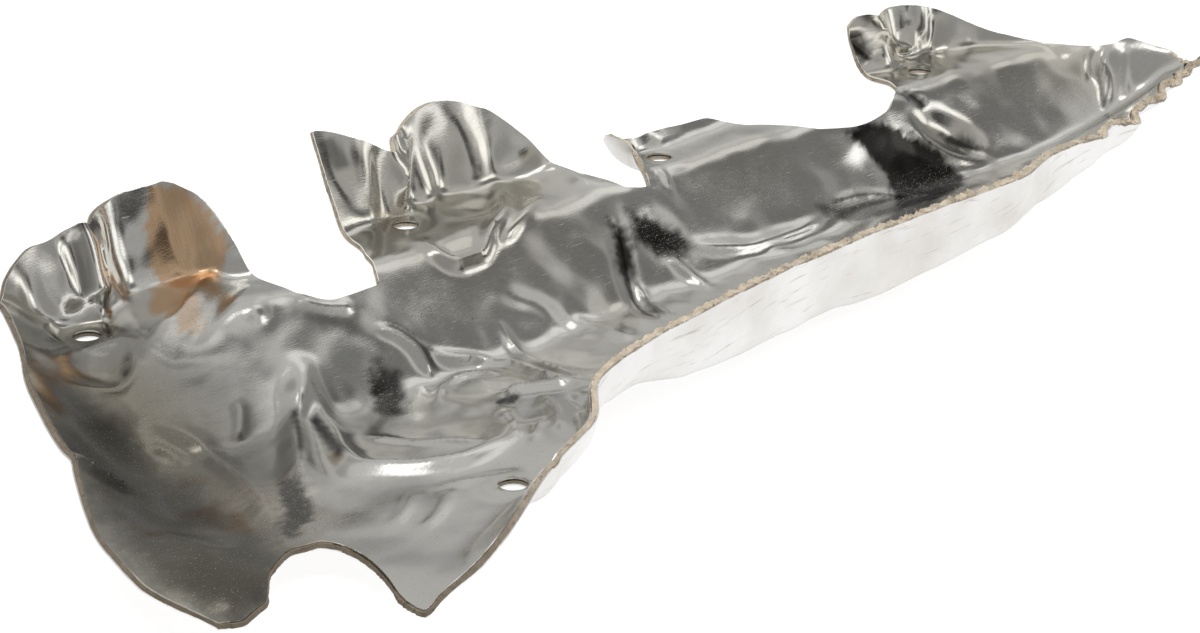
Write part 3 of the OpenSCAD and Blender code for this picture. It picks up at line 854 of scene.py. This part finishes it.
def bright_skin(name, colour):
    """Bright rolled steel: painted dark and orange reflections, soot, dust, scratches and grime over a near
    mirror.
    """
    material, graph, shader = new_material(name, Metallic=1.0)
    flat, place = graph.attribute("flat", "Vector"), graph.object_place()
    soot_and_dark_reflection, orange_reflection, brown, dust = (graph.attribute(key) for key in STAIN_MAPS)
    cloud = graph.grain(place, 16, 6)
    fine = graph.grain(place, 2300, 3)
    specks = graph.grain(place, 2100, 2)
    brush = graph.grain(flat, 1.0, 2, (0.35, 3.2, 1), -34)
    scratch = graph.grain(flat, 0.5, 3, (0.25, 7, 1), 28)
    comb = graph.grain(flat, 0.7, 4, (0.5, 4, 1), -38)
    streaks = graph.grain(flat, 0.6, 3, (3.0, 0.25, 1))

    dull = tuple(DULL_SHARE * c for c in colour)
    base = graph.blend(graph.mapped(cloud, 0.3, 0.7, 0.0, 1.0), dull, colour)
    base = graph.blend(graph.times(brown, 0.75), base, GRIME)
    # Painted orange reflection, broken into streaks.
    base = graph.blend(graph.times(orange_reflection, graph.mapped(streaks, 0.35, 0.65, 0.78, 1.0)), base, REFLECTED_ORANGE)
    dusty = graph.times(graph.mapped(comb, 0.56, 0.66, 0.0, 1.0), dust)
    soot_and_reflection_share = graph.maths("SUBTRACT", soot_and_dark_reflection, graph.times(dusty, 0.3))
    # Painted dark reflections and soot, lighter along combed scratches where dust lies.
    base = graph.blend(graph.times(soot_and_reflection_share, 0.97), base, SOOT_AND_REFLECTED_BLACK)
    dark_specks = graph.times(graph.mapped(specks, 0.64, 0.70, 0.0, 0.85), graph.add(dust, 0.3))
    base = graph.blend(dark_specks, base, DARK_SPECK)
    pale_specks = graph.times(graph.mapped(fine, 0.62, 0.68, 0.0, 0.6), graph.add(dust, 0.16))
    graph.feed(graph.blend(pale_specks, base, PALE_SPECK), shader.inputs["Base Color"])

    scored = graph.mapped(scratch, 0.66, 0.78, 0.0, 0.2)
    rough = graph.mapped(cloud, 0.3, 0.75, 0.04, 0.15)
    for more in (scored, graph.mapped(brush, 0.4, 0.7, 0.0, 0.10), graph.times(dust, 0.12),
                 graph.times(pale_specks, 0.4)):
        rough = graph.add(rough, more)
    graph.feed(rough, shader.inputs["Roughness"])
    pits = graph.add(graph.times(fine, 0.22), scored)
    graph.bump(shader, graph.add(pits, graph.times(brush, 0.22)), 0.25, 0.3 * MM)
    return material


def satin_skin(name, colour):
    """Whitish satin outside, scuffed, with long faint scores."""
    material, graph, shader = new_material(name, Metallic=0.9)
    flat, place = graph.attribute("flat", "Vector"), graph.object_place()
    cloud = graph.grain(place, 30, 6)
    score = graph.grain(flat, 0.22, 4, (0.3, 5, 1), 8)
    fine = graph.grain(place, 900, 3)
    base = graph.blend(graph.mapped(cloud, 0.42, 0.72, 0.0, 0.6), colour, SMUDGE)
    base = graph.blend(graph.mapped(score, 0.60, 0.72, 0.0, 0.7), base, SCORE)
    graph.feed(base, shader.inputs["Base Color"])
    graph.feed(graph.mapped(cloud, 0.3, 0.7, 0.30, 0.50), shader.inputs["Roughness"])
    graph.bump(shader, graph.add(graph.times(fine, 0.3), graph.times(score, 0.5)), 0.2, 0.3 * MM)
    return material


def fibre(name, colour):
    """Matt tan fibre, mottled, with dark pores, darker with age towards the left end."""
    material, graph, shader = new_material(name, Roughness=0.95)
    place = graph.object_place()
    mottle = graph.grain(place, 260, 5)
    pores = graph.grain(place, 1100, 3)
    shade = tuple(SHADE_SHARE * c for c in colour)
    base = graph.blend(graph.mapped(mottle, 0.35, 0.65, 0.0, 1.0), shade, colour)
    base = graph.blend(graph.mapped(pores, 0.58, 0.68, 0.0, 0.8), base, PORE)
    along = graph.node("SeparateXYZ", Vector=place).outputs["X"]
    base = graph.blend(graph.mapped(along, *AGED_SPAN, AGED_SHARE, 0.0), base, AGED)
    graph.feed(base, shader.inputs["Base Color"])
    graph.bump(shader, pores, 0.8, 0.6 * MM)
    return material


# Operators


class ShieldSizes(bpy.types.PropertyGroup):
    skin: bpy.props.FloatProperty(name="Skin thickness", description="Thickness of each metal skin",
                                  default=0.4 * MM, unit="LENGTH")
    core: bpy.props.FloatProperty(name="Core thickness", description="Thickness of the fibre core",
                                  default=1.2 * MM, unit="LENGTH")
    hole: bpy.props.FloatProperty(name="Bolt hole", description="Diameter of the bolt holes",
                                  default=7 * MM, unit="LENGTH")


class ShieldFinish(bpy.types.PropertyGroup):
    inner: bpy.props.FloatVectorProperty(name="Inner skin", description="Colour of the bright inner skin",
                                         default=(0.725, 0.717, 0.682), subtype="COLOR", min=0, max=1)
    outer: bpy.props.FloatVectorProperty(name="Outer skin", description="Colour of the satin outer skin",
                                         default=(0.78, 0.775, 0.765), subtype="COLOR", min=0, max=1)
    core: bpy.props.FloatVectorProperty(name="Fibre", description="Colour of the fibre core",
                                        default=(0.70, 0.60, 0.47), subtype="COLOR", min=0, max=1)


class ShieldStage(bpy.types.PropertyGroup):
    lens: bpy.props.FloatProperty(name="Lens", description="Focal length of the camera", default=0.081,
                                  unit="LENGTH")
    room: bpy.props.FloatProperty(name="Room", description="Brightness of the studio's walls", default=0.58,
                                  subtype="FACTOR", min=0, max=1)
    floor_glow: bpy.props.FloatProperty(name="Floor glow", description="Brightness the white floor adds",
                                        default=0.72, subtype="FACTOR", min=0, max=1)


def ragged(clean, torn_more, grows=None):
    """Roughness of a cut edge: when clean, how much more when torn, and stations where that grows."""
    return lambda u, torn: clean + torn_more * torn * (ease(*grows, u) if grows else 1)


def constant(value):
    return lambda u, s: np.full_like(u, value)


class SHIELD_OT_inner_skin(bpy.types.Operator):
    """Press the bright inner skin"""
    bl_idname = "shield.inner_skin"
    bl_label = "Inner Skin"

    def execute(self, context):
        sizes, finish = context.scene.shield_sizes, context.scene.shield_finish
        trim = outline(tear, ragged(0.03, 0.14, (60, 120)), 1)
        skin = blank("inner_skin_sheet", trim, 396, 203)
        press(skin, lambda u, s: -flare(u, s), lambda u, s: sizes.skin / MM - flare(u, s))
        punch(skin, sizes.hole / 2)
        stain(skin)
        finish_piece(skin, bright_skin("bright_skin", tuple(finish.inner)), "inner_skin")
        return {"FINISHED"}


class SHIELD_OT_fibre_core(bpy.types.Operator):
    """Press the fibre core, torn and puffed along the front rim"""
    bl_idname = "shield.fibre_core"
    bl_label = "Fibre Core"

    def execute(self, context):
        sizes, finish = context.scene.shield_sizes, context.scene.shield_finish
        skin, core = sizes.skin / MM, sizes.core / MM

        def top(u, s):
            fluff = waves(u, s, *FLUFF_WAVES)
            bare = 1 - ease(0.0, 0.9, rim_gap(u, s) - tear(u) + 0.7)
            sunk = CORE_SINK * ease(1.0, 3.0, edge_gap(u, s))
            return skin + sunk - flare(u, s) - bare * ease(60, 110, u) * (0.3 + fluff)

        trim = outline(lambda u: np.full_like(u, -0.25), ragged(0.12, 0.5, (55, 200)), 2)
        plate = blank("fibre_core_sheet", trim, 380, 200)
        press(plate, top, constant(skin + core), BACK_RELIEF)
        punch(plate, sizes.hole / 2)
        finish_piece(plate, fibre("tan_fibre", tuple(finish.core)), "fibre_core")
        return {"FINISHED"}


class SHIELD_OT_outer_skin(bpy.types.Operator):
    """Press the satin outer skin"""
    bl_idname = "shield.outer_skin"
    bl_label = "Outer Skin"

    def execute(self, context):
        sizes, finish = context.scene.shield_sizes, context.scene.shield_finish
        depth = (sizes.skin + sizes.core) / MM
        trim = outline(lambda u: 0.25 * ease(330, 380, u), ragged(0.03, 0.08), 3)
        skin = blank("outer_skin_sheet", trim, 330, 180)
        press(skin, constant(depth), constant(depth + sizes.skin / MM), BACK_RELIEF)
        punch(skin, sizes.hole / 2)
        finish_piece(skin, satin_skin("satin_skin", tuple(finish.outer)), "outer_skin")
        return {"FINISHED"}


class SHIELD_OT_loose_fibres(bpy.types.Operator):
    """Pull loose fibres out of the torn front rim"""
    bl_idname = "shield.loose_fibres"
    bl_label = "Loose Fibres"

    def execute(self, context):
        sizes, finish = context.scene.shield_sizes, context.scene.shield_finish
        rng = np.random.default_rng(21)
        spread = np.concatenate([rng.uniform(58, 200, 110), rng.uniform(200, 397, 330)]
                                + [rng.normal(place, 1.2, 16) for place in FIBRE_TUFTS])
        spread = np.clip(spread, 56, 397)
        count = len(spread)
        base_s = front_cut(spread) + rng.uniform(-0.1, 1.6, count) * ease(60, 240, spread)
        depth = (sizes.skin + sizes.core * rng.uniform(-0.2, 0.9, count)) / MM
        root = pressed(spread, base_s, depth)
        outward = root - pressed(spread, base_s + 1.0, depth)
        sideways = pressed(spread + 0.6, base_s, depth) - root
        rise = root - pressed(spread, base_s, depth + 1.0)
        frames = [axis / np.linalg.norm(axis, axis=1, keepdims=True) for axis in (outward, sideways, rise)]
        aim = sum(frame * rng.normal(mean, 0.7, (count, 1)) for frame, mean in zip(frames, (0.7, 0.0, 0.7)))
        aim /= np.linalg.norm(aim, axis=1, keepdims=True)
        bow = rng.normal(0, 0.35, (count, 3))
        length = rng.uniform(0.7, 2.6, count)[:, None]
        thick = rng.uniform(0.04, 0.09, count)[:, None]
        side = np.cross(aim, rng.normal(size=(count, 3)))
        side /= np.linalg.norm(side, axis=1, keepdims=True)
        other = np.cross(aim, side)
        rings = []
        for step in range(FIBRE_STEPS + 1):
            t = step / FIBRE_STEPS
            middle = root + aim * length * t + bow * length * t * t
            for k in range(3):
                turn = 2 * math.pi * k / 3
                out = math.cos(turn) * side + math.sin(turn) * other
                rings.append(middle + thick * (1 - 0.7 * t) * out)
        points = (np.stack(rings, 1).reshape(-1, 3) - ORIGIN) * MM
        strand = [(3 * i + k, 3 * i + (k + 1) % 3, 3 * i + 3 + (k + 1) % 3, 3 * i + 3 + k)
                  for i in range(FIBRE_STEPS) for k in range(3)]
        strand += [(2, 1, 0), tuple(3 * FIBRE_STEPS + k for k in range(3))]
        size = 3 * (FIBRE_STEPS + 1)
        faces = [tuple(v + size * n for v in face) for n in range(count) for face in strand]
        mesh = bpy.data.meshes.new("loose_fibres")
        mesh.from_pydata(points.tolist(), [], faces)
        fibres = bpy.data.objects.new("loose_fibres", mesh)
        context.scene.collection.objects.link(fibres)
        finish_piece(fibres, fibre("loose_fibre", tuple(finish.core)), None)
        return {"FINISHED"}


class SHIELD_OT_stage(bpy.types.Operator):
    """Add the floor, the studio light and the camera"""
    bl_idname = "shield.stage"
    bl_label = "Stage"

    def execute(self, context):
        settings = context.scene.shield_stage
        fresh()
        bpy.ops.mesh.primitive_plane_add(size=8, location=(0, 0, -0.0003))
        floor = bpy.context.object
        floor.name = "studio_floor"
        floor.data.materials.append(white_floor(settings.floor_glow))
        studio_world(settings.room)
        for name, place, size, power in LAMPS:
            bpy.ops.object.light_add(type="AREA", location=place)
            lamp = bpy.context.object
            lamp.name = name
            lamp.data.shape = "RECTANGLE"
            lamp.data.size, lamp.data.size_y = size
            lamp.data.energy = power
            lamp.rotation_euler = (-Vector(place)).to_track_quat("-Z", "Y").to_euler()
            lamp.visible_glossy = False
        add_camera(settings.lens)
        context.scene.view_settings.view_transform = "Standard"
        return {"FINISHED"}


# How far the fibre lies back from the inner skin away from the cut edges, clear of its sharp creases.
CORE_SINK = 0.55
FIBRE_STEPS = 3
# Stations of the thicker tufts on the rim.
FIBRE_TUFTS = (212, 219, 236, 262, 291, 372, 388)

# Lamps for the fibre, the satin and the floor: place, size, power. The bright skin shows the room.
LAMPS = [
    ("key_light", (-0.4, -0.5, 1.5), (1.2, 0.8), 14),
    ("side_light", (0.9, -0.9, 0.9), (0.8, 0.8), 3),
]
# Soft panels of the room: azimuth from +Y to +X, elevation, radius, soft edge, brightness.
PANELS = [
    (40, 8, 8, 9, 0.40),
    (92, 10, 16, 12, 0.32),
    (150, 5, 30, 10, 0.52),
    (-60, 20, 30, 25, 0.60),
    (56, 34, 4, 5, 0.75),
    (112, 42, 6, 12, 0.22),
    (78, 50, 8, 6, 0.95),
    (15, 40, 8, 8, 0.42),
    (60, 82, 7, 4, 2.2),
    (-150, 45, 25, 20, 0.38),
    (130, 26, 6, 5, 1.7),
    (152, 14, 5, 6, 0.10),
    (118, 8, 6, 6, 1.6),
    (140, 4, 2, 6, 0.14),
]


# Brightness of the room at the foot of its walls and overhead, as shares, and half height of the horizon.
WALL_FOOT, CEILING = 0.9, 1.15
HORIZON = 0.03


def white_floor(glow):
    """Matt floor that keeps the shadow and adds white for the camera and in reflections."""
    material, graph, shader = new_material("white_floor", Roughness=1.0)
    shader.inputs["Base Color"].default_value = (0.5, 0.5, 0.5, 1)
    shader.inputs["Specular IOR Level"].default_value = 0.0
    shader.inputs["Emission Color"].default_value = (1, 1, 1, 1)
    path = graph.node("LightPath").outputs
    seen = graph.maths("MAXIMUM", path["Is Camera Ray"], path["Is Glossy Ray"])
    seen = graph.maths("MAXIMUM", seen, path["Is Transmission Ray"])
    graph.feed(graph.times(seen, glow), shader.inputs["Emission Strength"])
    return material


def studio_world(room):
    """Grey room over a white floor, with soft panels that the bright metal shows."""
    world = bpy.data.worlds.new("studio")
    bpy.context.scene.world = world
    world.use_nodes = True
    graph = Graph(world.node_tree)
    way = graph.node("TexCoord").outputs["Generated"]
    height = graph.node("SeparateXYZ", Vector=way).outputs["Z"]
    light = graph.mapped(height, 0.0, 1.0, room * WALL_FOOT, room * CEILING)
    for azimuth, elevation, radius, edge, brightness in PANELS:
        a, e = math.radians(azimuth), math.radians(elevation)
        aim = graph.node("VectorMath", operation="DOT_PRODUCT")
        graph.feed(way, aim.inputs[0])
        graph.feed((math.sin(a) * math.cos(e), math.cos(a) * math.cos(e), math.sin(e)), aim.inputs[1])
        outer, inner = math.cos(math.radians(radius + edge)), math.cos(math.radians(radius))
        share = graph.mapped(aim.outputs["Value"], outer, inner, 0.0, 1.0)
        share.node.interpolation_type = "SMOOTHSTEP"
        light = graph.mix("FLOAT", MIX_NUMBERS, share, light, brightness).outputs[0]
    ground = graph.mapped(height, -HORIZON, HORIZON, 1.0, 0.0)
    background = world.node_tree.nodes["Background"]
    graph.feed(graph.maths("MAXIMUM", light, ground), background.inputs["Strength"])
    background.inputs["Color"].default_value = (1.0, 0.997, 0.98, 1)


# The camera stands off from the origin of the tables.
CAMERA_PLACE = Vector(np.array([-336.4, -522.8, 274.9]) - ORIGIN) * MM
CAMERA_TURN = math.radians(44.414)
CAMERA_DOWN = math.radians(22)


def add_camera(lens):
    side = Vector((math.cos(CAMERA_TURN), -math.sin(CAMERA_TURN), 0))
    level = math.cos(CAMERA_DOWN)
    ahead = Vector((math.sin(CAMERA_TURN) * level, math.cos(CAMERA_TURN) * level, -math.sin(CAMERA_DOWN)))
    up = side.cross(ahead)
    data = bpy.data.cameras.new("camera")
    data.sensor_width = 36
    data.lens = lens / MM
    camera = bpy.data.objects.new("camera", data)
    bpy.context.scene.collection.objects.link(camera)
    camera.matrix_world = Matrix.Translation(CAMERA_PLACE) @ Matrix((side, up, -ahead)).transposed().to_4x4()
    bpy.context.scene.camera = camera


class SHIELD_PT_panel(bpy.types.Panel):
    bl_label = "Heat Shield"
    bl_idname = "SHIELD_PT_panel"
    bl_space_type = "VIEW_3D"
    bl_region_type = "UI"
    bl_category = "Heat Shield"

    def draw(self, context):
        for operator in OPERATORS:
            self.layout.operator(operator.bl_idname)


OPERATORS = (SHIELD_OT_inner_skin, SHIELD_OT_fibre_core, SHIELD_OT_outer_skin, SHIELD_OT_loose_fibres,
             SHIELD_OT_stage)
CLASSES = (ShieldSizes, ShieldFinish, ShieldStage, *OPERATORS, SHIELD_PT_panel)


def register():
    for cls in CLASSES:
        bpy.utils.register_class(cls)
    bpy.types.Scene.shield_sizes = bpy.props.PointerProperty(type=ShieldSizes)
    bpy.types.Scene.shield_finish = bpy.props.PointerProperty(type=ShieldFinish)
    bpy.types.Scene.shield_stage = bpy.props.PointerProperty(type=ShieldStage)


def unregister():
    del bpy.types.Scene.shield_sizes
    del bpy.types.Scene.shield_finish
    del bpy.types.Scene.shield_stage
    for cls in reversed(CLASSES):
        bpy.utils.unregister_class(cls)


def main():
    register()
    bpy.ops.shield.inner_skin()
    bpy.ops.shield.fibre_core()
    bpy.ops.shield.outer_skin()
    bpy.ops.shield.loose_fibres()
    bpy.ops.shield.stage()


if __name__ == "__main__":
    main()
